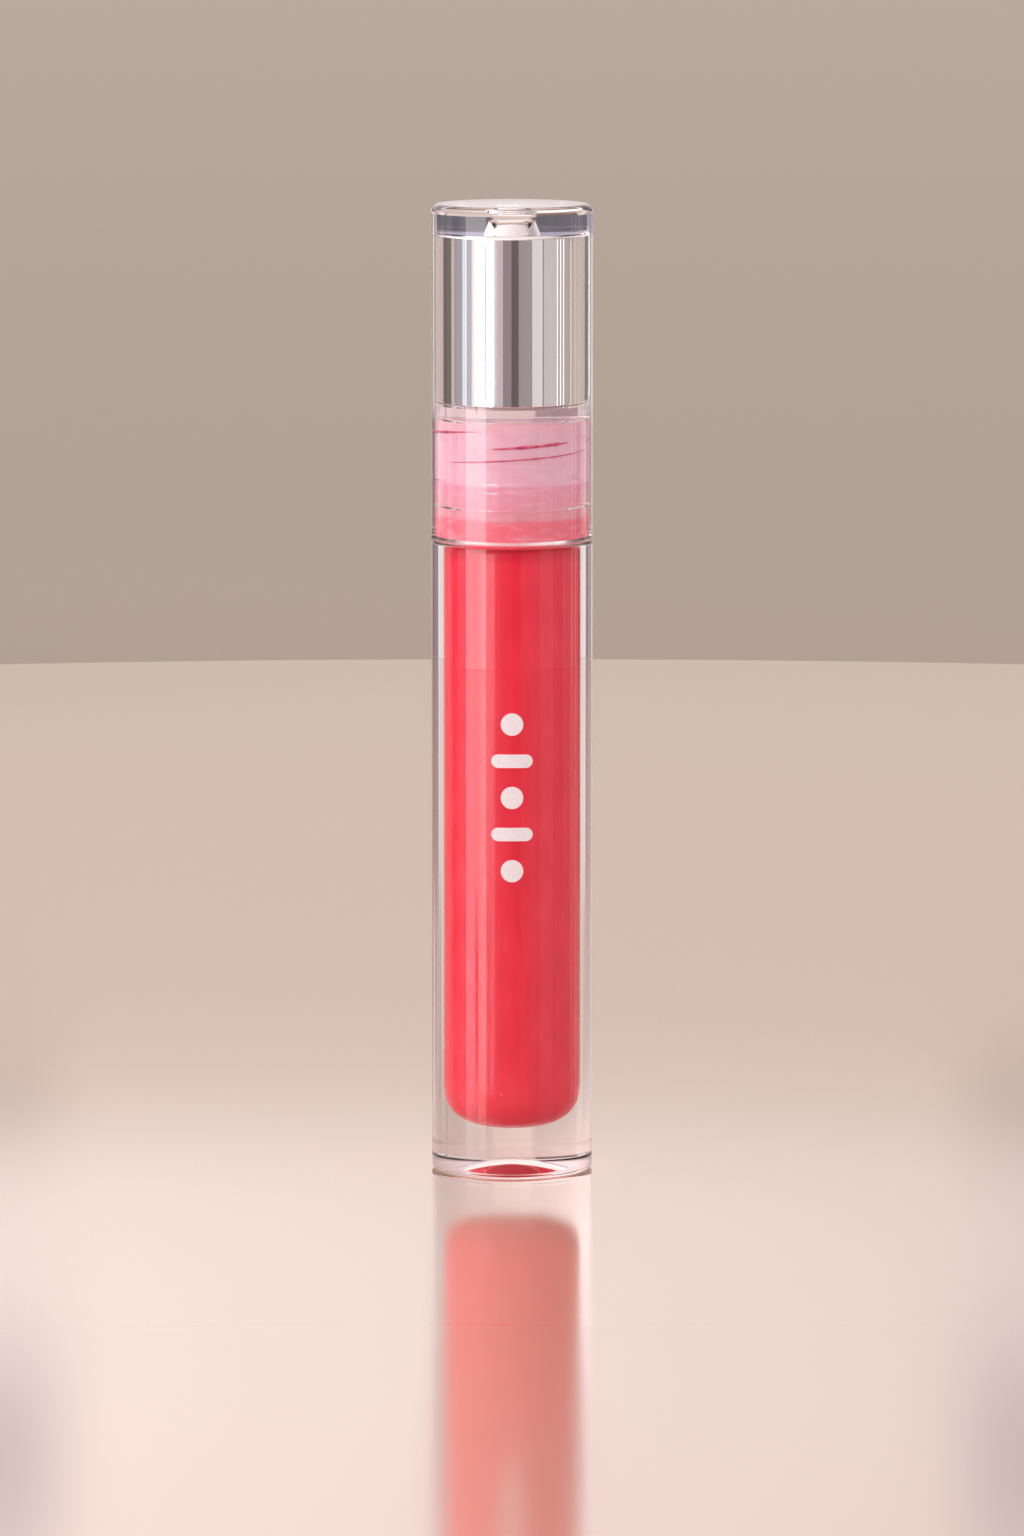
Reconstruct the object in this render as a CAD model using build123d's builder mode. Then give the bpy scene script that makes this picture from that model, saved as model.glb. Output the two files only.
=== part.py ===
from build123d import *
import os

os.makedirs("parts", exist_ok=True)

# A lip gloss tube: a thick clear bottle, and a clear screw cap with a silver sleeve and an applicator wand.
# Millimetres. The tube stands upright on Z = 0 with its axis on Z, and the printed mark faces -Y.
# Profiles are drawn in the XZ plane, as radius and height, and turned about Z.

# Driving dimensions
tube_r = 9.0                # outside of the bottle and of the cap
shoulder_z = 70.8           # top of the bottle's outer wall, where the cap meets it
total_height = 108.4
running_gap = 0.05          # radial clearance between pieces that move on each other
seam_gap = 0.15             # gap between the bottle's shoulder and the closed cap

# Bottle
base_fillet = 0.9
punt_r = 4.2
punt_depth = 1.3
shoulder_fillet = 0.35
cavity_r = 5.04
cavity_floor_z = 5.0
cavity_bowl = 4.6           # height of the cavity's rounded bottom
cavity_bend = 0.78          # how far the bottom's corner reaches out and down: 0.71 is an ellipse, 1 is square
cavity_top_z = 69.6         # where the cavity's straight wall ends
cavity_fillet = 0.6
throat_r = 4.2              # the cavity inside the collar
throat_bottom_z = 70.5
throat_top_z = 72.6
throat_fillet = 0.3
collar_r = 4.9
collar_top_z = 74.4
collar_fillet = 0.3
neck_r = 4.35
neck_bore_r = 3.3
neck_bore_z = 73.4          # where the throat's slope meets the neck's bore
neck_top_z = 83.2
neck_fillet = 0.25

# Thread, right-handed
pitch = 2.5
thread_start_z = 76.6
bottle_thread_turns = 1.9
cap_thread_turns = 1.25
thread_depth = 0.6
ridge_root = 1.4
ridge_crest = 0.7
ridge_sink = 0.15           # how far a ridge's root is buried in its wall
thread_gap = 0.1            # radial clearance between a crest and the wall that it faces

# Wiper
wiper_flange_r = 4.1
wiper_flange = 0.5
wiper_wall = 0.4
wiper_orifice_r = 2.3
wiper_bottom_z = 73.6
wiper_lip = 0.5             # height of the plain ring at the wiper's orifice
wiper_funnel = 2.4

# Gloss
gloss_top_z = 73.2
wand_channel_r = 2.25
channel_clearance = 0.5     # gloss channel's depth below the applicator's tip

# Cap shell
shell_bore_r = 5.75
shell_top_fillet = 0.95
shell_rim_fillet = 0.3
shell_mouth_chamfer = 0.35
top_disc = 3.2
gate_pocket_r = 2.1
gate_pocket = 1.5
gate_draft = 0.4            # how much narrower the moulding pocket is at its top

# Silver sleeve
sleeve_bottom_z = 86.2
sleeve_wall = 0.35
sleeve_fillet = 0.35

# Inner cap
skirt_bottom_z = 71.1
web_bottom_z = 84.4
plug_wall = 0.7
boss_r = 2.6
rib_width = 0.8
rib_count = 4
plug_headroom = 0.25        # gap between the plug's top and the sleeve's closed end
boss_lid = 1.0
web_chamfer = 0.3
snap_groove_heights = (74.7, 84.4)
snap_groove = 0.3           # height of a groove
snap_groove_depth = 0.2

# Seal washer
washer_r = 4.3
washer_hole_r = 1.75
washer_gap = 0.05           # gap above and below the washer

# Wand and applicator
stem_r = 1.5
stem_top_z = 99.0
stem_bottom_z = 30.0
stem_chamfer = 0.25
shank_r = 0.9
shank_length = 5.0
flock = 0.3
tip_z = 14.0
tip_slope = 0.4             # rise of the applicator's slanted face across its axis, outwards over up
foot_sections = [           # applicator core: height, half-width and half-depth
    (stem_bottom_z, 1.2, 1.2),
    (26.0, 1.35, 1.15),
    (20.0, 1.65, 1.35),
    (tip_z + 1.2, 1.3, 1.1),
    (tip_z + flock, 0.7, 0.6),
]

# Printed mark
mark_mid_z = 43.0
mark_dot_r = 1.25
mark_bar_width = 4.6
mark_bar_height = 1.5
mark_step = 4.1
ink = 0.04

cap_bottom_z = shoulder_z + seam_gap
shell_ceiling_z = total_height - top_disc
sleeve_r = shell_bore_r - running_gap
sleeve_top_z = shell_ceiling_z - running_gap
sleeve_bore_r = sleeve_r - sleeve_wall
plug_r = sleeve_bore_r - running_gap
plug_top_z = sleeve_top_z - sleeve_wall - plug_headroom
web_top_z = sleeve_bottom_z - running_gap
wiper_top_z = neck_top_z + wiper_flange
inner_cap_r = shell_bore_r
skirt_bore_r = neck_r + thread_depth + thread_gap
cap_thread_z = thread_start_z - pitch / 2     # half a pitch from the bottle's ridge, in its groove
bowl_rim_z = cavity_floor_z + cavity_bowl
bowl_points = [
    (cavity_r, bowl_rim_z),
    (cavity_r * cavity_bend, bowl_rim_z - cavity_bowl * cavity_bend),
    (0, cavity_floor_z),
]
bowl_ends = ((0, -1), (-1, 0))      # the bowl's directions where it meets the wall and the axis
gloss_top_r = neck_bore_r + (throat_r - neck_bore_r) * (neck_bore_z - gloss_top_z) / (neck_bore_z - throat_top_z)
boss_top_z = stem_top_z + boss_lid
wand_channel_z = tip_z - channel_clearance
slant_plane = Plane(
    origin=(0, foot_sections[-1][2] / 2, tip_z + flock),
    x_dir=(1, 0, 0),
    z_dir=(0, -1, -tip_slope),
)


def ridge_corners(wall_r, height, way):
    """Corners of a thread ridge's section: way is 1 where it stands out of a wall and -1 inside a bore."""
    root_r = wall_r - way * ridge_sink
    crest_r = wall_r + way * thread_depth
    return [
        (root_r, height - ridge_root / 2),
        (crest_r, height - ridge_crest / 2),
        (crest_r, height + ridge_crest / 2),
        (root_r, height + ridge_root / 2),
    ]


# Bottle: thick outer wall, domed base, collar and threaded neck around the cavity for the gloss
with BuildPart() as bottle:
    with BuildSketch(Plane.XZ):
        with BuildLine():
            ThreePointArc((0, punt_depth), (punt_r / 2, punt_depth * 0.75), (punt_r, 0))
            FilletPolyline(
                (punt_r, 0),
                (tube_r, 0),
                (tube_r, shoulder_z),
                (collar_r, shoulder_z),
                (collar_r, collar_top_z),
                (neck_r, collar_top_z),
                (neck_r, neck_top_z),
                (neck_bore_r, neck_top_z),
                (neck_bore_r, neck_bore_z),
                (throat_r, throat_top_z),
                (throat_r, throat_bottom_z),
                (cavity_r, cavity_top_z),
                (cavity_r, bowl_rim_z),
                radius=[
                    base_fillet,
                    shoulder_fillet,
                    0,
                    collar_fillet,
                    0,
                    neck_fillet,
                    neck_fillet,
                    0,
                    throat_fillet,
                    throat_fillet,
                    cavity_fillet,
                ],
            )
            Spline(*bowl_points, tangents=bowl_ends)
            Line((0, cavity_floor_z), (0, punt_depth))
        make_face()
    revolve(axis=Axis.Z)
    with BuildLine() as bottle_helix:
        Helix(pitch, pitch * bottle_thread_turns, neck_r, center=(0, 0, thread_start_z))
    with BuildSketch(Plane.XZ):
        with BuildLine():
            Polyline(ridge_corners(neck_r, thread_start_z, 1), close=True)
        make_face()
    sweep(path=bottle_helix.wires()[0], is_frenet=True)

# Wiper: a soft plug in the neck whose funnel narrows to the orifice that strips the wand
with BuildPart() as wiper:
    funnel_bottom_z = wiper_bottom_z + wiper_lip
    funnel_top_z = funnel_bottom_z + wiper_funnel
    wiper_bore_r = neck_bore_r - wiper_wall
    with BuildSketch(Plane.XZ):
        with BuildLine():
            Polyline(
                (wiper_bore_r, wiper_top_z),
                (wiper_flange_r, wiper_top_z),
                (wiper_flange_r, neck_top_z),
                (neck_bore_r, neck_top_z),
                (neck_bore_r, funnel_top_z),
                (wiper_orifice_r + wiper_wall, funnel_bottom_z),
                (wiper_orifice_r + wiper_wall, wiper_bottom_z),
                (wiper_orifice_r, wiper_bottom_z),
                (wiper_orifice_r, funnel_bottom_z),
                (wiper_bore_r, funnel_top_z),
                close=True,
            )
        make_face()
    revolve(axis=Axis.Z)

# Gloss: fills the cavity up to the neck, with a channel where the wand hangs
with BuildPart() as lip_gloss:
    with BuildSketch(Plane.XZ):
        with BuildLine():
            Polyline((0, cavity_floor_z), (0, gloss_top_z), (gloss_top_r, gloss_top_z))
            FilletPolyline(
                (gloss_top_r, gloss_top_z),
                (throat_r, throat_top_z),
                (throat_r, throat_bottom_z),
                (cavity_r, cavity_top_z),
                (cavity_r, bowl_rim_z),
                radius=[throat_fillet, throat_fillet, cavity_fillet],
            )
            Spline(*bowl_points, tangents=bowl_ends)
        make_face()
    revolve(axis=Axis.Z)
    with BuildSketch(Plane.XY.offset(wand_channel_z)):
        Circle(wand_channel_r)
    extrude(until=Until.LAST, mode=Mode.SUBTRACT)

# Printed mark: plain dots and bars in one film of ink that follows the bottle's wall
with BuildPart() as printed_mark:
    with BuildSketch(Plane.XZ.offset(tube_r / 2)):
        with Locations((0, mark_mid_z)):
            with GridLocations(0, 2 * mark_step, 1, 3):
                Circle(mark_dot_r)
            with GridLocations(0, 2 * mark_step, 1, 2):
                SlotOverall(mark_bar_width, mark_bar_height)
    extrude(amount=tube_r)
    with BuildSketch():
        Circle(tube_r + ink)
        Circle(tube_r, mode=Mode.SUBTRACT)
    extrude(amount=shoulder_z, mode=Mode.INTERSECT)

# Cap shell: thick clear sleeve, closed by a solid disc with a moulding pocket under its centre
with BuildPart() as cap_shell:
    with BuildSketch(Plane.XZ):
        with BuildLine():
            FilletPolyline(
                (0, total_height),
                (tube_r, total_height),
                (tube_r, cap_bottom_z),
                (shell_bore_r, cap_bottom_z),
                radius=[shell_top_fillet, shell_rim_fillet],
            )
            Polyline(
                (shell_bore_r, cap_bottom_z),
                (shell_bore_r, shell_ceiling_z),
                (gate_pocket_r, shell_ceiling_z),
                (gate_pocket_r - gate_draft, shell_ceiling_z + gate_pocket),
                (0, shell_ceiling_z + gate_pocket),
                (0, total_height),
            )
        make_face()
    revolve(axis=Axis.Z)
    mouth = cap_shell.edges().filter_by(GeomType.CIRCLE).group_by(Axis.Z)[0].sort_by(SortBy.RADIUS)[0]
    chamfer(mouth, length=shell_mouth_chamfer)

# Silver sleeve: a thin metallised cup, closed at the top, between the shell and the inner cap
with BuildPart() as silver_sleeve:
    with BuildSketch(Plane.XY.offset(sleeve_bottom_z)):
        Circle(sleeve_r)
    extrude(amount=sleeve_top_z - sleeve_bottom_z)
    fillet(silver_sleeve.faces().sort_by(Axis.Z)[-1].edges(), radius=sleeve_fillet)
    with BuildSketch(Plane.XY.offset(sleeve_bottom_z)):
        Circle(sleeve_bore_r)
    extrude(amount=sleeve_top_z - sleeve_wall - sleeve_bottom_z, mode=Mode.SUBTRACT)

# Inner cap: threaded skirt, solid web, and a ribbed plug whose boss holds the wand
with BuildPart() as inner_cap:
    with BuildSketch(Plane.XY.offset(skirt_bottom_z)):
        Circle(inner_cap_r)
        Circle(skirt_bore_r, mode=Mode.SUBTRACT)
    extrude(amount=web_top_z - skirt_bottom_z)
    with BuildSketch(Plane.XY.offset(web_bottom_z)):
        Circle(inner_cap_r)
    extrude(amount=web_top_z - web_bottom_z)
    with BuildSketch(Plane.XY.offset(web_top_z)):
        Circle(plug_r)
        Circle(plug_r - plug_wall, mode=Mode.SUBTRACT)
    extrude(amount=plug_top_z - web_top_z)
    with BuildSketch(Plane.XY.offset(web_top_z)):
        Circle(boss_r)
        with PolarLocations((boss_r + plug_r - plug_wall) / 2, rib_count):
            Rectangle(plug_r - boss_r, rib_width)
    extrude(amount=boss_top_z - web_top_z)
    with BuildSketch(Plane.XY.offset(web_bottom_z)):
        Circle(stem_r)
    extrude(amount=stem_top_z - web_bottom_z, mode=Mode.SUBTRACT)
    web_rim = inner_cap.edges().filter_by(GeomType.CIRCLE).filter_by_position(Axis.Z, web_top_z, web_top_z)
    chamfer(web_rim.sort_by(SortBy.RADIUS)[-1], length=web_chamfer)
    with BuildSketch(Plane.XZ):
        with Locations([(inner_cap_r, groove_z) for groove_z in snap_groove_heights]):
            Rectangle(2 * snap_groove_depth, snap_groove)
    revolve(axis=Axis.Z, mode=Mode.SUBTRACT)
    with BuildLine() as cap_helix:
        Helix(pitch, pitch * cap_thread_turns, skirt_bore_r, center=(0, 0, cap_thread_z))
    with BuildSketch(Plane.XZ):
        with BuildLine():
            Polyline(ridge_corners(skirt_bore_r, cap_thread_z, -1), close=True)
        make_face()
    sweep(path=cap_helix.wires()[0], is_frenet=True)

# Seal washer: a soft ring that the inner cap presses on the wiper's flange
with BuildPart() as seal_washer:
    with BuildSketch(Plane.XY.offset(wiper_top_z + washer_gap)):
        Circle(washer_r)
        Circle(washer_hole_r, mode=Mode.SUBTRACT)
    extrude(amount=web_bottom_z - wiper_top_z - 2 * washer_gap)

# Wand stem: a rod held in the inner cap's boss, with a socket for the applicator's shank
with BuildPart() as wand_stem:
    with BuildSketch(Plane.XY.offset(stem_bottom_z)):
        Circle(stem_r)
    extrude(amount=stem_top_z - stem_bottom_z)
    chamfer(wand_stem.faces().sort_by(Axis.Z)[-1].edges(), length=stem_chamfer)
    with BuildSketch(Plane.XY.offset(stem_bottom_z)):
        Circle(shank_r)
    extrude(amount=shank_length, mode=Mode.SUBTRACT)

# Applicator core: a shank above a paddle with one slanted face, the doe foot
with BuildPart() as applicator_core:
    for height, half_width, half_depth in foot_sections:
        with BuildSketch(Plane.XY.offset(height)):
            Ellipse(half_width, half_depth)
    loft()
    split(bisect_by=slant_plane, keep=Keep.BOTTOM)
    with BuildSketch(Plane.XY.offset(stem_bottom_z)):
        Circle(shank_r)
    extrude(amount=shank_length)

# Flocking: an even layer of short fibres over the paddle, flush with the stem above it
with BuildPart() as flocked_tip:
    for height, half_width, half_depth in foot_sections:
        with BuildSketch(Plane.XY.offset(height if height == stem_bottom_z else height - flock)):
            Ellipse(half_width + flock, half_depth + flock)
    loft()
    split(bisect_by=slant_plane.offset(flock), keep=Keep.BOTTOM)
    add(applicator_core.part, mode=Mode.SUBTRACT)

pieces = {
    "bottle": bottle,
    "wiper": wiper,
    "lip_gloss": lip_gloss,
    "printed_mark": printed_mark,
    "cap_shell": cap_shell,
    "silver_sleeve": silver_sleeve,
    "inner_cap": inner_cap,
    "seal_washer": seal_washer,
    "wand_stem": wand_stem,
    "applicator_core": applicator_core,
    "flocked_tip": flocked_tip,
}
for piece_name, piece in pieces.items():
    piece.part.label = piece_name
    export_step(piece.part, f"parts/{piece_name}.step")
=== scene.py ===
import math
import random

import bmesh
import bpy
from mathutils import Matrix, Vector


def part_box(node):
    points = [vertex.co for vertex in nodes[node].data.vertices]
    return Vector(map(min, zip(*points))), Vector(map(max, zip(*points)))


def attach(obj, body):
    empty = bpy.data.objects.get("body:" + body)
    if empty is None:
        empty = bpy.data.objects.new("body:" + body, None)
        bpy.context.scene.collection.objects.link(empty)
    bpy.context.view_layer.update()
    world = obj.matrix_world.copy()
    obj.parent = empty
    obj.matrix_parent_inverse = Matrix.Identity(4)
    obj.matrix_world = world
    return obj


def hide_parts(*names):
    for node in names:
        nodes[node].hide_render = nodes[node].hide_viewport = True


# A lip gloss tube, upright on Z = 0: a thick clear bottle of coral gloss under a clear screw cap.
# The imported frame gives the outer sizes. The pieces turned here are the same shapes with finer curves.
# Plastic that touches what is inside it is modelled as one clear body, so it shows no air between them.

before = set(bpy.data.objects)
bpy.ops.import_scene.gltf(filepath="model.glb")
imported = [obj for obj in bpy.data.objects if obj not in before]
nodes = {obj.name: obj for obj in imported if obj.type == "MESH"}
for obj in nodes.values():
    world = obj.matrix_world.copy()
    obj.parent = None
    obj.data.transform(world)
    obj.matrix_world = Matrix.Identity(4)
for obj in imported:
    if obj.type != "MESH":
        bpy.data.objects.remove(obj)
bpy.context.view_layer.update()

MM = 0.001
SEGMENTS = 192              # round a turned piece
FUSE = 0.03 * MM            # how far a piece in contact reaches into the clear plastic round it

bottle_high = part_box("bottle")[1]
shell_low, shell_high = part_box("cap_shell")
gloss_low, gloss_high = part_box("lip_gloss")
wiper_low, wiper_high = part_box("wiper")
sleeve_low, sleeve_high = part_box("silver_sleeve")
insert_low, insert_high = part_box("inner_cap")
washer_low, washer_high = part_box("seal_washer")
stem_low, stem_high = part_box("wand_stem")

tube_r = bottle_high[0]
neck_top = bottle_high[2]
shoulder_z = shell_low[2] - 0.15 * MM
cavity_r = gloss_high[0]
bowl_height = 4.6 * MM
bowl_rim_z = gloss_low[2] + bowl_height
bore_r = insert_high[0]
ceiling_z = sleeve_high[2] + 0.05 * MM
cavity_top_z = 70.0 * MM    # where the cavity's straight wall ends
throat_r = 4.2 * MM         # the cavity inside the collar
throat_bottom_z = 70.5 * MM
throat_top_z = 72.6 * MM
collar_r = 4.9 * MM
collar_top_z = 74.4 * MM
neck_r = 4.35 * MM
neck_bore_r = 3.3 * MM
neck_bore_z = 73.4 * MM     # where the throat's slope meets the neck's bore
thread_low_z = 75.4 * MM    # the part of the neck that carries the thread
thread_high_z = 82.3 * MM
web_bottom_z = 84.4 * MM
web_top_z = sleeve_low[2] - 0.05 * MM
skirt_r = 5.05 * MM
skirt_low_z = 74 * MM       # the part of the inner cap's skirt that carries the thread
skirt_high_z = 80 * MM


# Shapes

def rounded(corners, steps=8):
    """A turned outline as (radius, height) points, from corners given as (radius, height, fillet)."""
    outline = []
    for i, (x, z, fillet) in enumerate(corners):
        here = Vector((x, z))
        if not fillet:
            outline.append(here)
            continue
        before = Vector(corners[i - 1][:2]) - here
        after = Vector(corners[(i + 1) % len(corners)][:2]) - here
        half = before.angle(after) / 2
        reach = fillet / math.tan(half)
        centre = here + (before.normalized() + after.normalized()).normalized() * fillet / math.sin(half)
        start = here + before.normalized() * reach - centre
        end = here + after.normalized() * reach - centre
        turn = start.angle_signed(end)
        for step in range(steps + 1):
            angle = -turn * step / steps
            outline.append(centre + Vector((
                start.x * math.cos(angle) - start.y * math.sin(angle),
                start.x * math.sin(angle) + start.y * math.cos(angle),
            )))
    return outline


def bowl(radius, height, rim_z, power=2.8, steps=40):
    """A rounded bottom, squarer than an ellipse, from its rim down to its lowest point on the axis."""
    points = []
    for step in range(steps + 1):
        angle = math.pi / 2 * step / steps
        out = abs(math.cos(angle)) ** (2 / power) if step < steps else 0
        points.append(Vector((radius * out, rim_z - height * math.sin(angle) ** (2 / power))))
    return points


def dense(low, high, radius, step=0.1 * MM):
    """Points up a straight wall, close enough together to carry a thread."""
    count = round((high - low) / step)
    return [Vector((radius, low + (high - low) * i / count)) for i in range(count + 1)]


def held(outline, edge=0.06 * MM):
    """The outline with an extra point near each end of its long straight parts, which keeps the shading
    there straight where a fillet begins."""
    points = []
    for here, after in zip(outline, outline[1:]):
        points.append(here)
        way = after - here
        if way.length > 0.8 * MM:
            points += [here + way.normalized() * edge, after - way.normalized() * edge]
    return points + [outline[-1]]


def lathe(work, outline, bump, closed):
    """Adds the outline turned about Z to a bmesh, and returns its faces."""
    rings = []
    if closed:
        outline = held(outline + outline[:1])[:-1]
    else:
        outline = held(outline)
    for point in outline:
        if point.x < 1e-6:
            rings.append([work.verts.new((0, 0, point.y))])
            continue
        ring = []
        for i in range(SEGMENTS):
            angle = math.tau * i / SEGMENTS
            radius = point.x + (bump(angle, point.y, point.x) if bump else 0)
            ring.append(work.verts.new((radius * math.cos(angle), radius * math.sin(angle), point.y)))
        rings.append(ring)
    pairs = list(zip(rings, rings[1:]))
    if closed:
        pairs.append((rings[-1], rings[0]))
    faces = []
    for lower, upper in pairs:
        for i in range(SEGMENTS):
            j = (i + 1) % SEGMENTS
            if len(lower) == 1:
                corners = (lower[0], upper[i], upper[j])
            elif len(upper) == 1:
                corners = (lower[i], upper[0], lower[j])
            else:
                corners = (lower[i], upper[i], upper[j], lower[j])
            faces.append(work.faces.new(corners))
    return faces


def finished(name, work, body):
    """Turns a bmesh into a smooth-shaded piece that rides on a body."""
    mesh = bpy.data.meshes.new(name)
    work.to_mesh(mesh)
    work.free()
    mesh.shade_smooth()
    mesh.set_sharp_from_angle(angle=math.radians(32))
    piece = bpy.data.objects.new(name, mesh)
    bpy.context.scene.collection.objects.link(piece)
    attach(piece, body)
    return piece


def turned(name, outline, body, bump=None, closed=False, pockets=()):
    """A piece turned about Z from its outline. bump(angle, height, radius) moves the wall in or out,
    and pockets are the outlines of spaces shut inside the piece."""
    work = bmesh.new()
    faces = lathe(work, outline, bump, closed)
    bmesh.ops.recalc_face_normals(work, faces=faces)
    for pocket in pockets:
        inside = lathe(work, pocket, None, pocket[0].x > 0)
        bmesh.ops.recalc_face_normals(work, faces=inside)
        bmesh.ops.reverse_faces(work, faces=inside)
    return finished(name, work, body)


# Thread

PITCH = 2.5 * MM
THREAD_START = 76.6 * MM
THREAD_DEPTH = 0.6 * MM
THREAD_REACH = 0.7 * MM     # from the ridge's middle to its foot
THREAD_FLANK = 0.35 * MM    # the height over which its side slopes
THREAD_TURNS = 1.9
SKIRT_TURNS = 1.25


def thread(start_z, turns, way, fade=0.07):
    """The bump of a helical ridge that starts at +X, way 1 outwards or -1 inwards, faded in at both ends."""
    def bump(angle, height, radius):
        best = 0
        for whole in range(int(turns) + 1):
            run = angle / math.tau + whole
            if run > turns:
                continue
            away = abs(height - start_z - run * PITCH)
            flank = (THREAD_REACH - away) / THREAD_FLANK
            ends = min(run / fade, (turns - run) / fade, 1)
            best = max(best, min(max(flank, 0), 1) * ends)
        return way * best * THREAD_DEPTH
    return bump


# Materials

def material(name, **sockets):
    """A Principled material with plain values on its sockets. Returns the material, its tree and shader."""
    made = bpy.data.materials.new(name)
    made.use_nodes = True
    shader = made.node_tree.nodes["Principled BSDF"]
    for socket, value in sockets.items():
        shader.inputs[socket.replace("_", " ")].default_value = value
    return made, made.node_tree, shader


def place(tree):
    """The point being shaded, in the piece's own metres."""
    return tree.nodes.new("ShaderNodeTexCoord").outputs["Object"]


def noise(tree, size, stretch=(1, 1, 1), detail=3):
    """Soft noise with features about size across, longer along an axis whose stretch is above 1."""
    mapping = tree.nodes.new("ShaderNodeMapping")
    tree.links.new(place(tree), mapping.inputs["Vector"])
    mapping.inputs["Scale"].default_value = [1 / (size * s) for s in stretch]
    made = tree.nodes.new("ShaderNodeTexNoise")
    tree.links.new(mapping.outputs["Vector"], made.inputs["Vector"])
    made.inputs["Scale"].default_value = 1
    made.inputs["Detail"].default_value = detail
    return made.outputs["Fac"]


def specks(tree, spacing, size):
    """1 in small round specks, one in some of the cells that are spacing across, and 0 elsewhere."""
    cells = tree.nodes.new("ShaderNodeTexVoronoi")
    tree.links.new(place(tree), cells.inputs["Vector"])
    cells.inputs["Scale"].default_value = 1 / spacing
    near = remap(tree, cells.outputs["Distance"], size * 0.6 / spacing, size / spacing, 1, 0)
    chosen = tree.nodes.new("ShaderNodeSeparateColor")
    tree.links.new(cells.outputs["Color"], chosen.inputs["Color"])
    both = tree.nodes.new("ShaderNodeMath")
    both.operation = "MULTIPLY"
    tree.links.new(near, both.inputs[0])
    tree.links.new(remap(tree, chosen.outputs["Red"], 0.6, 0.62, 0, 1), both.inputs[1])
    return both.outputs[0]


def height(tree):
    split = tree.nodes.new("ShaderNodeSeparateXYZ")
    tree.links.new(place(tree), split.inputs["Vector"])
    return split.outputs["Z"]


def remap(tree, value, low, high, to_low, to_high):
    made = tree.nodes.new("ShaderNodeMapRange")
    tree.links.new(value, made.inputs["Value"])
    for socket, number in zip(("From Min", "From Max", "To Min", "To Max"), (low, high, to_low, to_high)):
        made.inputs[socket].default_value = number
    return made.outputs["Result"]


def ramp(tree, value, stops):
    """Colours along a value from 0 to 1. stops are (position, colour)."""
    made = tree.nodes.new("ShaderNodeValToRGB")
    tree.links.new(value, made.inputs["Fac"])
    scale = made.color_ramp.elements
    while len(scale) < len(stops):
        scale.new(0.5)
    for element, (position, colour) in zip(scale, stops):
        element.position = position
        element.color = (*colour, 1)
    return made.outputs["Color"]


def mix(tree, share, first, second):
    """The first colour, going over to the second by share. Either may be a socket or plain numbers."""
    made = tree.nodes.new("ShaderNodeMix")
    made.data_type = "RGBA"
    tree.links.new(share, made.inputs["Factor"])
    for name, colour in (("A", first), ("B", second)):
        socket = [s for s in made.inputs if s.name == name and s.type == "RGBA"][0]
        if isinstance(colour, tuple):
            socket.default_value = (*colour, 1)
        else:
            tree.links.new(colour, socket)
    return [s for s in made.outputs if s.type == "RGBA"][0]


def bump(tree, shader, value, depth):
    made = tree.nodes.new("ShaderNodeBump")
    made.inputs["Distance"].default_value = depth
    tree.links.new(value, made.inputs["Height"])
    tree.links.new(made.outputs["Normal"], shader.inputs["Normal"])


def drive(tree, value, shader, socket, low, high):
    """Lets noise move a shader socket between low and high."""
    tree.links.new(remap(tree, value, 0.3, 0.7, low, high), shader.inputs[socket])


def dress(piece, finish):
    piece.data.materials.clear()
    piece.data.materials.append(finish)


# Clear plastic: polished, with a faint moulding waviness and a little haze from handling. The foot's flat
# ring and the faces and edges that meet at the seam are satin. The foot is tinted pink: painted glow of the
# gloss above it.
clear_plastic, tree, shader = material("clear_plastic", IOR=1.5, Transmission_Weight=1.0)
# painted light: the pink glow of the gloss above, as a pink tint towards the foot
painted_gloss_glow = remap(tree, height(tree), 1 * MM, 8 * MM, 1, 0)
tree.links.new(mix(tree, painted_gloss_glow, (1.0, 0.968, 0.974), (1.0, 0.88, 0.88)), shader.inputs["Base Color"])
bump(tree, shader, noise(tree, 4 * MM, (1, 1, 6), 1), 0.004 * MM)
roughness = remap(tree, noise(tree, 6 * MM, (1, 1, 2)), 0.3, 0.7, 0, 0.012)
for face_z, reach, satin in ((0, 0.03 * MM, 0.4), (shoulder_z + 0.25 * MM, 0.28 * MM, 0.22)):
    near = tree.nodes.new("ShaderNodeMath")
    near.operation = "COMPARE"
    tree.links.new(height(tree), near.inputs[0])
    near.inputs[1].default_value = face_z
    near.inputs[2].default_value = reach
    added = tree.nodes.new("ShaderNodeMath")
    added.operation = "MULTIPLY_ADD"
    tree.links.new(near.outputs[0], added.inputs[0])
    added.inputs[1].default_value = satin
    tree.links.new(roughness, added.inputs[2])
    roughness = added.outputs[0]
tree.links.new(roughness, shader.inputs["Roughness"])

# Gloss: thick coral paste, drawn into faint upright streaks and darker under the cap in painted shade, with a
# few fine bubbles and dark grains at the wall
gloss_finish, tree, shader = material(
    "coral_gloss", Roughness=0.07, IOR=1.35, Subsurface_Weight=0.35, Subsurface_Scale=0.003
)
paste = ramp(tree, noise(tree, 2.4 * MM, (1, 1, 2.5), 4), [
    (0.25, (0.74, 0.022, 0.054)),
    (0.5, (0.79, 0.028, 0.064)),
    (0.75, (0.84, 0.042, 0.082)),
])
drawn = remap(tree, noise(tree, 0.7 * MM, (1, 1, 30), 3), 0.45, 0.8, 0, 0.25)
paste = mix(tree, drawn, paste, (0.70, 0.015, 0.045))
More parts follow.
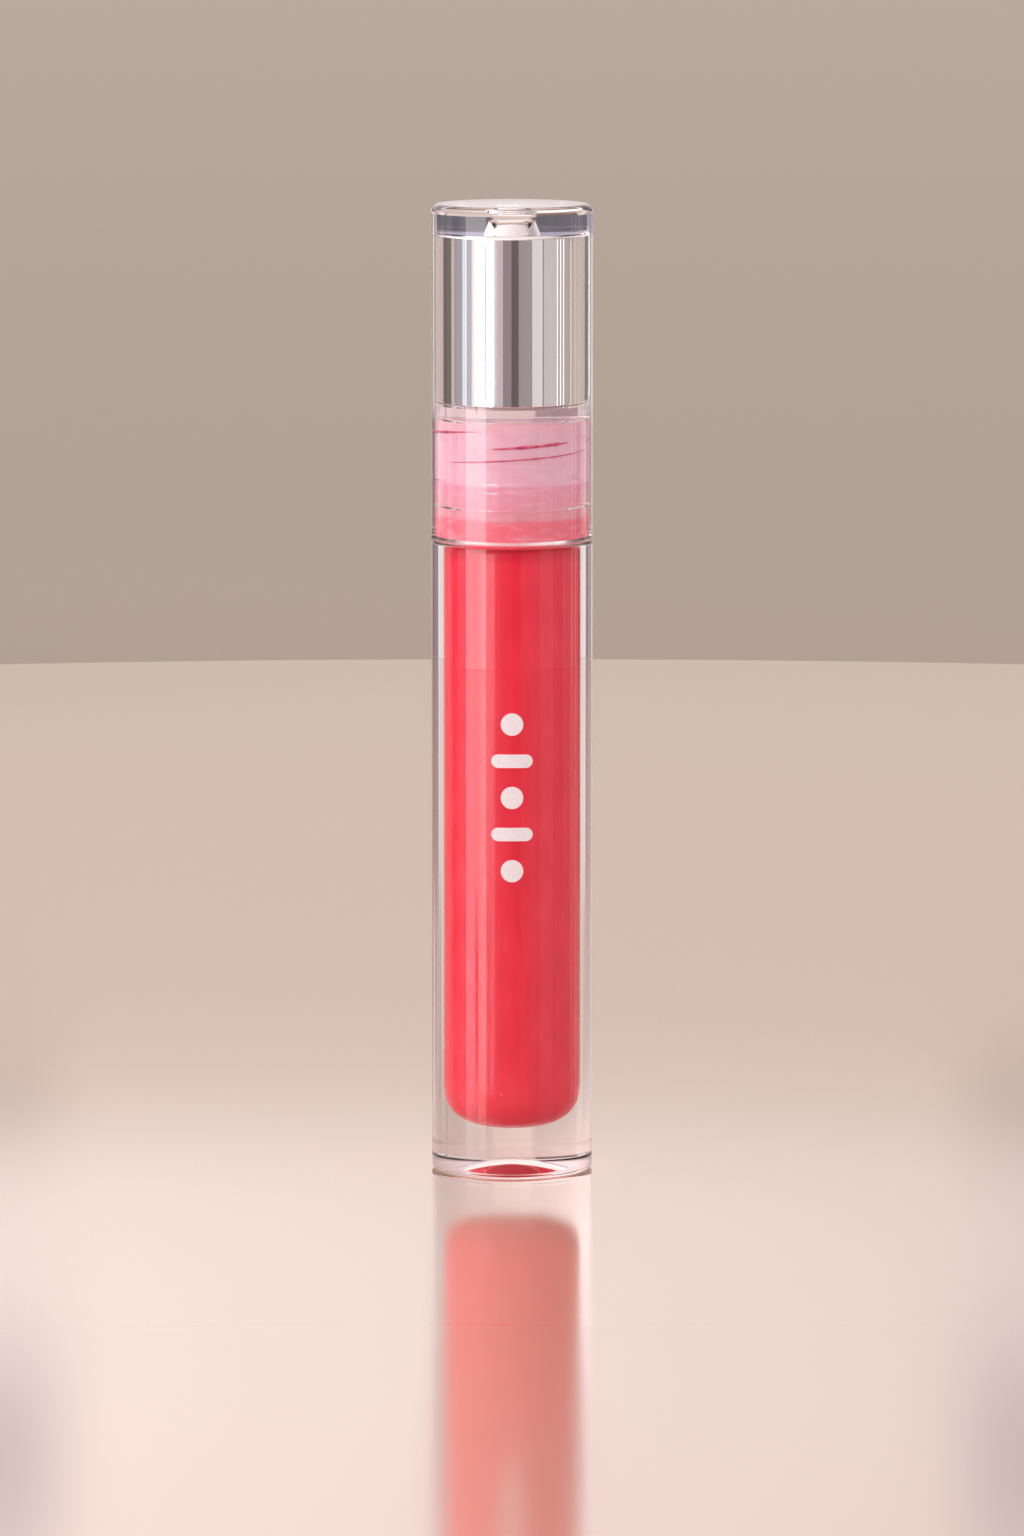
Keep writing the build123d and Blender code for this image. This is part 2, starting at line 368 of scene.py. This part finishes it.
# painted shade: the paste darker at its top, in the shade under the cap's shoulder
paste = mix(tree, remap(tree, height(tree), 68.6 * MM, 70.0 * MM, 0, 0.7), paste, (0.55, 0.008, 0.03))
paste = mix(tree, specks(tree, 3.4 * MM, 0.14 * MM), paste, (1.0, 0.45, 0.50))
paste = mix(tree, specks(tree, 7.0 * MM, 0.22 * MM), paste, (0.40, 0.01, 0.03))
tree.links.new(paste, shader.inputs["Base Color"])

# Silver: vacuum metal on plastic, drawn upright
silver_finish, tree, shader = material("silver", Base_Color=(0.87, 0.85, 0.855, 1), Metallic=1.0)
grain = noise(tree, 0.35 * MM, (1, 1, 60), 2)
bump(tree, shader, grain, 0.0006 * MM)
drive(tree, grain, shader, "Roughness", 0.012, 0.035)

# Inner cap: frosted pink plastic with faint smears and painted white glints, clearer in the web above; redder
# towards its foot, where the red glow of the gloss below is painted in
insert_finish, tree, shader = material("pink_insert", Roughness=0.4, Specular_IOR_Level=0.0)
wavy = tree.nodes.new("ShaderNodeMath")
wavy.operation = "MULTIPLY_ADD"
wavy.inputs[1].default_value = 0.7 * MM
tree.links.new(noise(tree, 3 * MM, (1, 1, 0.6), 3), wavy.inputs[0])
tree.links.new(height(tree), wavy.inputs[2])
level = remap(tree, wavy.outputs[0], insert_low[2] + 0.35 * MM, web_top_z + 0.35 * MM, 0, 1)
span = web_top_z - insert_low[2]


def share(z):
    """A height in millimetres as a share of the inner cap's skirt and web."""
    return (z * MM - insert_low[2]) / span


# painted light: the coral at the foot is the red glow of the gloss below
pink = ramp(tree, level, [
    (share(73.3), (0.97, 0.22, 0.29)),
    (share(73.7), (0.96, 0.42, 0.52)),
    (share(77.3), (0.96, 0.44, 0.58)),
    (share(77.5), (1.0, 0.65, 0.79)),
    (share(83.0), (1.0, 0.65, 0.79)),
    (share(84.4), (0.97, 0.58, 0.66)),
    (share(84.8), (0.95, 0.78, 0.83)),
])
cloud = noise(tree, 2.6 * MM, (1, 1, 0.5), 4)
pink = mix(tree, remap(tree, cloud, 0.45, 0.8, 0, 0.45), pink, (0.96, 0.30, 0.42))
smear = noise(tree, 1.1 * MM, (2.5, 2.5, 0.6), 5)
pink = mix(tree, remap(tree, smear, 0.5, 0.75, 0, 0.6), pink, (1.0, 0.62, 0.70))
# painted glints: small white specks
pink = mix(tree, specks(tree, 1.9 * MM, 0.10 * MM), pink, (1.0, 0.90, 0.92))
tree.links.new(pink, shader.inputs["Base Color"])
solid = ramp(tree, level, [
    (share(73.3), (0.60,) * 3),
    (share(73.7), (0.46,) * 3),
    (share(84.2), (0.46,) * 3),
    (share(84.8), (0.22,) * 3),
])
tree.links.new(solid, shader.inputs["Alpha"])

# Wiper and washer: soft mouldings
wiper_finish, tree, shader = material(
    "soft_wiper", Roughness=0.4, Specular_IOR_Level=0.0, Subsurface_Weight=0.5, Subsurface_Scale=0.002
)
tree.links.new(ramp(tree, noise(tree, 1 * MM), [(0.35, (0.93, 0.46, 0.56)), (0.7, (0.93, 0.66, 0.73))]),
               shader.inputs["Base Color"])
washer_finish, tree, shader = material("pale_rubber", Roughness=0.5)
tree.links.new(ramp(tree, noise(tree, 0.5 * MM), [(0.3, (0.86, 0.74, 0.77)), (0.7, (0.92, 0.83, 0.85))]),
               shader.inputs["Base Color"])
bump(tree, shader, noise(tree, 0.12 * MM), 0.01 * MM)

# Wand: milky plastic, wet with gloss up to the level in the bottle
stem_finish, tree, shader = material(
    "wand_plastic", Subsurface_Weight=0.3, Subsurface_Scale=0.001, Coat_Weight=0.4, Coat_Roughness=0.08
)
film = noise(tree, 0.9 * MM, (1, 1, 3), 4)
clean = ramp(tree, noise(tree, 2 * MM), [(0.3, (0.88, 0.76, 0.78)), (0.7, (0.92, 0.82, 0.84))])
wet = ramp(tree, film, [(0.35, (0.82, 0.10, 0.15)), (0.65, (0.90, 0.30, 0.36))])
ragged = tree.nodes.new("ShaderNodeMath")
ragged.operation = "MULTIPLY_ADD"
ragged.inputs[1].default_value = 3 * MM
tree.links.new(film, ragged.inputs[0])
tree.links.new(height(tree), ragged.inputs[2])
dipped = remap(tree, ragged.outputs[0], gloss_high[2] + 1 * MM, gloss_high[2] + 3 * MM, 1, 0)
tree.links.new(mix(tree, dipped, clean, wet), shader.inputs["Base Color"])
tree.links.new(remap(tree, dipped, 0, 1, 0.3, 0.12), shader.inputs["Roughness"])
bump(tree, shader, film, 0.03 * MM)

# Flock: short nylon fibres, matted with gloss
flock_finish, tree, shader = material(
    "flock", Roughness=0.55, Coat_Weight=0.3, Coat_Roughness=0.2, Sheen_Weight=0.3
)
matted = noise(tree, 0.6 * MM, (1, 1, 1), 4)
tree.links.new(ramp(tree, matted, [(0.3, (0.62, 0.05, 0.09)), (0.7, (0.86, 0.20, 0.26))]),
               shader.inputs["Base Color"])

# Ink: an opaque white film with a slightly uneven surface
ink_finish, tree, shader = material("white_ink")
coverage = noise(tree, 0.25 * MM, (1, 1, 1), 5)
tree.links.new(ramp(tree, coverage, [(0.3, (0.86, 0.80, 0.85)), (0.6, (0.95, 0.91, 0.96))]),
               shader.inputs["Base Color"])
drive(tree, noise(tree, 0.4 * MM), shader, "Roughness", 0.35, 0.55)
bump(tree, shader, noise(tree, 0.2 * MM), 0.006 * MM)

# Painted shade: thin dark lines in gloss colours along the thread, standing in for the shaded lines of its
# ridge
thread_shade_finish, tree, shader = material("thread_gloss", Roughness=0.25)
tree.links.new(ramp(tree, noise(tree, 0.7 * MM), [(0.35, (0.52, 0.04, 0.12)), (0.7, (0.78, 0.14, 0.25))]),
               shader.inputs["Base Color"])


# Bottle and what is in it

punt_r = 4.2 * MM
punt_depth = 1.3 * MM
PUNT_STEPS = 24
punt = [
    Vector((punt_r * i / PUNT_STEPS, punt_depth * (1 - (i / PUNT_STEPS) ** 2)))
    for i in range(PUNT_STEPS)
]
outer = rounded([
    (punt_r, 0, 0),
    (tube_r, 0, 0.5 * MM),
    (tube_r, shoulder_z, 0.18 * MM),
    (collar_r, shoulder_z, 0.1 * MM),
    (collar_r, collar_top_z, 0.3 * MM),
    (neck_r, collar_top_z, 0.1 * MM),
    (neck_r, thread_low_z, 0),
])
neck_wall = dense(thread_low_z + 0.1 * MM, thread_high_z, neck_r)
mouth = rounded([
    (neck_r, thread_high_z + 0.1 * MM, 0),
    (neck_r, neck_top, 0.25 * MM),
    (neck_bore_r, neck_top, 0.25 * MM),
    (neck_bore_r, neck_bore_z, 0.2 * MM),
    (throat_r, throat_top_z, 0.3 * MM),
    (throat_r, throat_bottom_z, 0.2 * MM),
    (cavity_r, cavity_top_z, 0.25 * MM),
    (cavity_r, bowl_rim_z, 0),
])
neck_thread = thread(THREAD_START, THREAD_TURNS, 1)


def neck_bump(angle, z, radius):
    threaded = radius > neck_r - 0.35 * MM and z > thread_low_z
    return neck_thread(angle, z, radius) if threaded else 0


bottle = turned(
    "bottle_clear",
    punt + outer + neck_wall + mouth + bowl(cavity_r, bowl_height, bowl_rim_z)[1:],
    "bottle",
    bump=neck_bump,
)
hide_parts("bottle")
dress(bottle, clear_plastic)
bottle.visible_shadow = False

gloss_r = cavity_r + FUSE
gloss_top_r = 3.53 * MM + FUSE      # where its level meets the throat's slope
gloss_outline = (
    [Vector((0, gloss_high[2]))]
    + rounded([
        (gloss_top_r, gloss_high[2], 0),
        (throat_r + FUSE, throat_top_z, 0.3 * MM),
        (throat_r + FUSE, throat_bottom_z, 0.2 * MM),
        (gloss_r, cavity_top_z, 0.25 * MM),
        (gloss_r, bowl_rim_z, 0),
    ])
    + bowl(gloss_r, bowl_height + FUSE, bowl_rim_z)[1:]
)
gloss = turned("coral_gloss", gloss_outline, "bottle")
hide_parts("lip_gloss")
dress(gloss, gloss_finish)

wiper_bore_r = 2.9 * MM
wiper_wall = 0.4 * MM
orifice_r = 2.3 * MM
funnel_low_z = 74 * MM      # the wiper narrows to its orifice between these heights
funnel_high_z = 76.4 * MM
wiper = turned("wiper_soft", rounded([
    (wiper_bore_r, wiper_high[2], 0.15 * MM),
    (wiper_high[0], wiper_high[2], 0.15 * MM),
    (wiper_high[0], neck_top, 0.05 * MM),
    (neck_bore_r + FUSE, neck_top, 0),
    (neck_bore_r + FUSE, funnel_high_z, 0.3 * MM),
    (orifice_r + wiper_wall, funnel_low_z, 0.2 * MM),
    (orifice_r + wiper_wall, wiper_low[2], 0.1 * MM),
    (orifice_r, wiper_low[2], 0.1 * MM),
    (orifice_r, funnel_low_z, 0.2 * MM),
    (wiper_bore_r, funnel_high_z, 0.3 * MM),
]), "bottle", closed=True)
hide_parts("wiper")
dress(wiper, wiper_finish)
dress(nodes["printed_mark"], ink_finish)


# Cap

skirt_thread = thread(THREAD_START - PITCH / 2, SKIRT_TURNS, -1)


def skirt_bump(angle, z, radius):
    threaded = radius < skirt_r + 0.15 * MM and skirt_low_z < z < skirt_high_z
    return skirt_thread(angle, z, radius) if threaded else 0


shell_outline = (
    [Vector((0, shell_high[2]))]
    + rounded([
        (0.5 * MM, shell_high[2], 0),
        (tube_r, shell_high[2], 0.95 * MM),
        (tube_r, shell_low[2], 0.16 * MM),
        (bore_r + 0.35 * MM, shell_low[2], 0.05 * MM),
        (bore_r, shell_low[2] + 0.35 * MM, 0.05 * MM),
        (bore_r, insert_low[2], 0.1 * MM),
        (skirt_r, insert_low[2], 0.1 * MM),
        (skirt_r, skirt_low_z, 0),
    ])
    + dense(skirt_low_z, skirt_high_z, skirt_r)[1:]
    + rounded([
        (skirt_r, skirt_high_z + 0.2 * MM, 0),
        (skirt_r, web_bottom_z, 0.4 * MM),
        (1.6 * MM, web_bottom_z, 0),
        (0, web_bottom_z, 0),
    ])
)
pocket_low_z = sleeve_high[2] - 0.01 * MM
pocket_high_z = ceiling_z + 1.5 * MM
gate_pocket = rounded([
    (0, pocket_low_z, 0),
    (2.1 * MM, pocket_low_z, 0),
    (1.7 * MM, pocket_high_z, 0.25 * MM),
    (0, pocket_high_z, 0),
])
web_chamfer = rounded([
    (bore_r, web_top_z - 0.3 * MM, 0.02 * MM),
    (bore_r, web_top_z, 0.02 * MM),
    (bore_r - 0.3 * MM, web_top_z, 0.02 * MM),
])
groove_r = bore_r - 0.2 * MM
snap_grooves = [
    rounded([
        (groove_r, z - 0.08 * MM, 0.03 * MM),
        (bore_r, z - 0.12 * MM, 0.02 * MM),
        (bore_r, z + 0.12 * MM, 0.02 * MM),
        (groove_r, z + 0.08 * MM, 0.03 * MM),
    ])
    for z in (74.7 * MM, web_bottom_z)
]
shell = turned(
    "cap_clear", shell_outline, "cap", bump=skirt_bump, pockets=[gate_pocket, web_chamfer] + snap_grooves
)
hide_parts("cap_shell")
dress(shell, clear_plastic)
shell.visible_shadow = False

sleeve_r = bore_r + FUSE
sleeve_wall = 0.35 * MM
sleeve = turned("sleeve_silver", [Vector((0, sleeve_high[2]))] + rounded([
    (0.5 * MM, sleeve_high[2], 0),
    (sleeve_r, sleeve_high[2], 0.35 * MM),
    (sleeve_r, sleeve_low[2], 0.08 * MM),
    (sleeve_r - sleeve_wall, sleeve_low[2], 0.05 * MM),
    (sleeve_r - sleeve_wall, sleeve_high[2] - sleeve_wall, 0.2 * MM),
    (0, sleeve_high[2] - sleeve_wall, 0),
]), "sleeve")
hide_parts("silver_sleeve")
dress(sleeve, silver_finish)

insert = turned("inner_cap_pink", [Vector((0, web_top_z - FUSE))] + rounded([
    (0.5 * MM, web_top_z - FUSE, 0),
    (bore_r - FUSE, web_top_z - FUSE, 0.25 * MM),
    (bore_r - FUSE, insert_low[2] + FUSE, 0.1 * MM),
    (skirt_r + FUSE, insert_low[2] + FUSE, 0.1 * MM),
    (skirt_r + FUSE, web_bottom_z + FUSE, 0.4 * MM),
    (0.5 * MM, web_bottom_z + FUSE, 0),
    (0, web_bottom_z + FUSE, 0),
]), "cap")
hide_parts("inner_cap")
dress(insert, insert_finish)


def helical_bead(name, body, start, end, front_z, radius, fat):
    """A thin lumpy bead on the thread's helix, a dark line of painted shade. start and end are degrees from
    the front.
    """
    sides = 8
    work = bmesh.new()
    rng = random.Random(name)
    rings = []
    steps = round(end - start)
    lump = 1
    for step in range(steps + 1):
        along = start + (end - start) * step / steps
        angle = math.radians(along - 90)
        lump += rng.uniform(-0.2, 0.2) + (1 - lump) * 0.12
        size = fat * max(lump, 0.2) * math.sin(math.pi * step / steps) ** 0.5 + 0.005 * MM
        middle_z = front_z + PITCH * along / 360
        ring = []
        for i in range(sides):
            around = math.tau * i / sides
            out = radius + size * 0.5 * math.cos(around)
            z = middle_z + size * math.sin(around)
            ring.append(work.verts.new((out * math.cos(angle), out * math.sin(angle), z)))
        rings.append(ring)
    for first, second in zip(rings, rings[1:]):
        for i in range(sides):
            j = (i + 1) % sides
            work.faces.new((first[i], first[j], second[j], second[i]))
    for ring in (rings[0], rings[-1]):
        work.faces.new(ring)
    bmesh.ops.recalc_face_normals(work, faces=work.faces)
    return finished(name, work, body)


# painted shade: dark beads where the thread's ridge shows shaded lines
for number, (start, end, front_z, fat) in enumerate((
    (-20, 62, 81.7 * MM, 0.15 * MM),
    (-75, 100, 80.35 * MM, 0.07 * MM),
    (95, 330, 81.2 * MM, 0.10 * MM),
    (-165, -95, 78.3 * MM, 0.08 * MM),
)):
    bead = helical_bead(f"thread_gloss_{number}", "cap", start, end, front_z, bore_r + 0.03 * MM, fat)
    dress(bead, thread_shade_finish)

washer_bore_r = 1.75 * MM
washer = turned("seal_ring", rounded([
    (washer_bore_r, washer_low[2], 0.1 * MM),
    (washer_high[0], washer_low[2], 0.1 * MM),
    (washer_high[0], washer_high[2], 0.1 * MM),
    (washer_bore_r, washer_high[2], 0.1 * MM),
]), "seal", closed=True)
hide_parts("seal_washer")
dress(washer, washer_finish)

stem_r = stem_high[0]
rod_top_z = 84.2 * MM       # the rest of the wand is out of sight in the boss, inside the sleeve
stem = turned("wand_rod", [Vector((0, rod_top_z))] + rounded([
    (0.5 * MM, rod_top_z, 0),
    (stem_r, rod_top_z, 0.1 * MM),
    (stem_r, stem_low[2] + 1.2 * MM, 0.1 * MM),
    (stem_r - 0.08 * MM, stem_low[2] + 1.1 * MM, 0.03 * MM),
    (stem_r - 0.08 * MM, stem_low[2] + 0.9 * MM, 0.03 * MM),
    (stem_r, stem_low[2] + 0.8 * MM, 0.1 * MM),
    (stem_r, stem_low[2], 0.1 * MM),
    (0.9 * MM, stem_low[2], 0),
    (0, stem_low[2], 0),
]), "cap")
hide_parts("wand_stem")
dress(stem, stem_finish)
dress(nodes["applicator_core"], stem_finish)


# Flock: short fibres standing on the applicator's skin

def fibres(name, skin, count, length, thick):
    """Thin three-sided spikes, rooted evenly over the skin's faces and leaning at random."""
    rng = random.Random(name)
    mesh = skin.data
    mesh.calc_loop_triangles()
    work = bmesh.new()
    triangles = [[mesh.vertices[v].co for v in t.vertices] for t in mesh.loop_triangles]
    normals = [t.normal.copy() for t in mesh.loop_triangles]
    areas = [t.area for t in mesh.loop_triangles]
    for chosen in rng.choices(range(len(triangles)), areas, k=count):
        a, b, c = triangles[chosen]
        u, v = rng.random(), rng.random()
        if u + v > 1:
            u, v = 1 - u, 1 - v
        lean = Vector((rng.gauss(0, 1), rng.gauss(0, 1), rng.gauss(0, 1))) * 0.35
        way = (normals[chosen] + lean).normalized()
        root = a + (b - a) * u + (c - a) * v - way * length * 0.3
        side = way.orthogonal().normalized() * thick
        across = way.cross(side)
        base = [
            work.verts.new(root + side * math.cos(turn) + across * math.sin(turn))
            for turn in (0, math.tau / 3, 2 * math.tau / 3)
        ]
        point = work.verts.new(root + way * length * rng.uniform(0.8, 1.1))
        for i in range(3):
            work.faces.new((base[i], base[(i + 1) % 3], point))
        work.faces.new(base[::-1])
    return finished(name, work, "cap")


dress(nodes["flocked_tip"], flock_finish)
coat = fibres("flock_fibres", nodes["flocked_tip"], 5000, 0.2 * MM, 0.025 * MM)
dress(coat, flock_finish)


# Floor, lights and camera

FLOOR_Z = -0.05 * MM        # the film of air under a foot that stands on a table
floor_mesh = bpy.data.meshes.new("floor")
floor_corners = [(x, y, FLOOR_Z) for x, y in ((-9, -9), (9, -9), (9, 9), (-9, 9))]
floor_mesh.from_pydata(floor_corners, [], [(0, 1, 2, 3)])
floor = bpy.data.objects.new("floor", floor_mesh)
bpy.context.scene.collection.objects.link(floor)
floor_finish, tree, shader = material(
    "pale_floor", Base_Color=(0.60, 0.425, 0.32, 1), Roughness=0.14, Coat_Weight=1.0, Coat_Roughness=0.11
)
floor.data.materials.append(floor_finish)

world = bpy.data.worlds.new("studio")
bpy.context.scene.world = world
world.use_nodes = True
world.node_tree.nodes["Background"].inputs["Color"].default_value = (0.86, 0.73, 0.63, 1)
world.node_tree.nodes["Background"].inputs["Strength"].default_value = 0.55

# A light tent stands round the tube, out of the camera's sight. Its panels run from start to end degrees,
# with 0 at the camera, 90 at the right and -90 at the left, and are painted over each other in turn.
TENT_RADIUS = 0.5
TENT_HEIGHT = 0.42
TENT_EDGE = 1.5             # degrees over which a panel fades at its sides
CLOTH = (0.11, 0.09, 0.09)
PANELS = [
    (-167, -139, 0.11, (1.00, 0.70, 0.62)),
    (-138, -127, 0.62, (1.00, 0.88, 0.80)),
    (-126, -107, 0.42, (1.00, 0.93, 1.00)),
    (-106, -94, 1.00, (0.84, 0.90, 1.00)),
    (-92, -84, 0.34, (1.00, 0.95, 1.00)),
    (-83, -77, 0.75, (1.00, 0.98, 1.00)),
    (-77, -69, 1.30, (1.00, 0.98, 1.00)),
    (-69, -37, 5.20, (1.00, 0.96, 0.97)),
    (-37, -33, 0.95, (1.00, 0.95, 0.97)),
    (-33, -17, 0.62, (1.00, 0.86, 0.92)),
    (-16, -1, 0.30, (1.00, 0.80, 0.86)),
    (0, 12, 0.12, (1.00, 0.90, 0.90)),
    (13, 38, 0.36, (1.00, 0.87, 0.85)),
    (39, 61, 0.80, (1.00, 0.95, 0.95)),
    (63, 93, 0.60, (1.00, 0.93, 0.92)),
    (93, 127, 0.46, (1.00, 0.86, 0.80)),
    (93.5, 96, 1.90, (1.00, 0.84, 0.84)),
    (101.5, 104, 1.90, (1.00, 0.84, 0.84)),
    (109.5, 112, 1.90, (1.00, 0.88, 0.86)),
    (128, 136, 0.72, (1.00, 0.90, 0.84)),
    (138, 191, 0.62, (1.00, 0.84, 0.74)),
]
SEAM = [(-53.5, -49.5, 0.25, (1.00, 0.95, 0.95))]       # between two panels, seen in the silver


def mirrored(panels):
    """The panels, and the same again on the left."""
    return panels + [(-end, -start, glow, tint) for start, end, glow, tint in panels]


LINES = mirrored([          # seen through the bottle's wall beside the gloss
    (103, 120, 0.32, (1.00, 0.62, 0.72)),
    (120, 124, 0.10, (1.00, 0.80, 0.90)),
    (124, 133, 0.85, (1.00, 0.92, 0.90)),
])
FLAGS = mirrored([(122, 171, 0.10, (0.76, 0.72, 1.00))])        # dark, seen through the cap's top disc
SOFT_FLAGS = mirrored([(122, 171, 0.45, (0.76, 0.72, 1.00))])   # seen in the silver's top


def painted(azimuth, panels, colour=CLOTH):
    """The tent's light at an azimuth in degrees, with panels painted over a colour."""
    colour = Vector(colour)
    for start, end, glow, tint in panels:
        for turn in (-360, 0, 360):
            inside = min(azimuth + turn - start, end - azimuth - turn) / TENT_EDGE + 0.5
            colour = colour.lerp(Vector(tint) * glow, min(max(inside, 0), 1))
    return colour


def lower(azimuth, panels=()):
    """The wall up to the height of the cap."""
    return painted(azimuth, PANELS + list(panels))


def upper(azimuth, panels=()):
    """The wall above the cap: brighter towards the key light at the left."""
    key = 1.15 + 0.75 * math.cos(math.radians(azimuth + 80))
    return painted(azimuth, panels, Vector((1.00, 0.90, 0.89)) * key)


TENT_RINGS = [              # height, the wall there, and what hangs in front of it
    (0, lower, LINES),
    (0.040, lower, LINES),
    (0.043, lower, []),
    (0.044, lower, SEAM),
    (0.0722, lower, SEAM),
    (0.0735, lower, FLAGS),
    (0.0795, lower, FLAGS),
    (0.083, upper, []),
    (0.120, upper, []),
    (0.124, upper, SOFT_FLAGS),
    (0.155, upper, SOFT_FLAGS),
    (0.160, upper, []),
    (TENT_HEIGHT, upper, []),
]
TENT_STEPS = 1440
tent_verts = []
tent_faces = []
tent_colours = []
for level, (z, wall, hung) in enumerate(TENT_RINGS):
    for i in range(TENT_STEPS):
        around = math.tau * i / TENT_STEPS
        tent_verts.append((TENT_RADIUS * math.sin(around), -TENT_RADIUS * math.cos(around), z))
        tent_colours.append((*wall(360 * i / TENT_STEPS, hung), 1))
        if level:
            a, b = level * TENT_STEPS + i, level * TENT_STEPS + (i + 1) % TENT_STEPS
            tent_faces.append((a, b, b - TENT_STEPS, a - TENT_STEPS))
tent_mesh = bpy.data.meshes.new("light_tent")
tent_mesh.from_pydata(tent_verts, [], tent_faces)
glow_layer = tent_mesh.color_attributes.new("glow", "FLOAT_COLOR", "POINT")
for point, colour in zip(glow_layer.data, tent_colours):
    point.color = colour
tent = bpy.data.objects.new("light_tent", tent_mesh)
bpy.context.scene.collection.objects.link(tent)
tent_finish, tree, shader = material("tent_cloth", Base_Color=(0, 0, 0, 1), Emission_Strength=1.0)
glow_node = tree.nodes.new("ShaderNodeVertexColor")
glow_node.layer_name = "glow"
tree.links.new(glow_node.outputs["Color"], shader.inputs["Emission Color"])
tent.data.materials.append(tent_finish)
tent.visible_camera = False

roof_mesh = bpy.data.meshes.new("tent_roof")
roof_corners = [
    (x * TENT_RADIUS, y * TENT_RADIUS, TENT_HEIGHT)
    for x, y in ((-1, -1), (1, -1), (1, 1), (-1, 1))
]
roof_mesh.from_pydata(roof_corners, [], [(0, 1, 2, 3)])
roof = bpy.data.objects.new("tent_roof", roof_mesh)
bpy.context.scene.collection.objects.link(roof)
roof_finish, tree, shader = material(
    "roof_cloth", Base_Color=(0, 0, 0, 1), Emission_Color=(1, 0.93, 0.88, 1), Emission_Strength=1.1
)
roof.data.materials.append(roof_finish)
roof.visible_camera = False

camera_data = bpy.data.cameras.new("camera")
camera = bpy.data.objects.new("camera", camera_data)
bpy.context.scene.collection.objects.link(camera)
camera_data.lens = 199
camera_data.sensor_width = 36
camera.location = (0, -0.943, 0.166)
camera.rotation_euler = (math.radians(90 - 7.3), 0, 0)
bpy.context.scene.camera = camera
bpy.context.scene.view_settings.view_transform = "Standard"
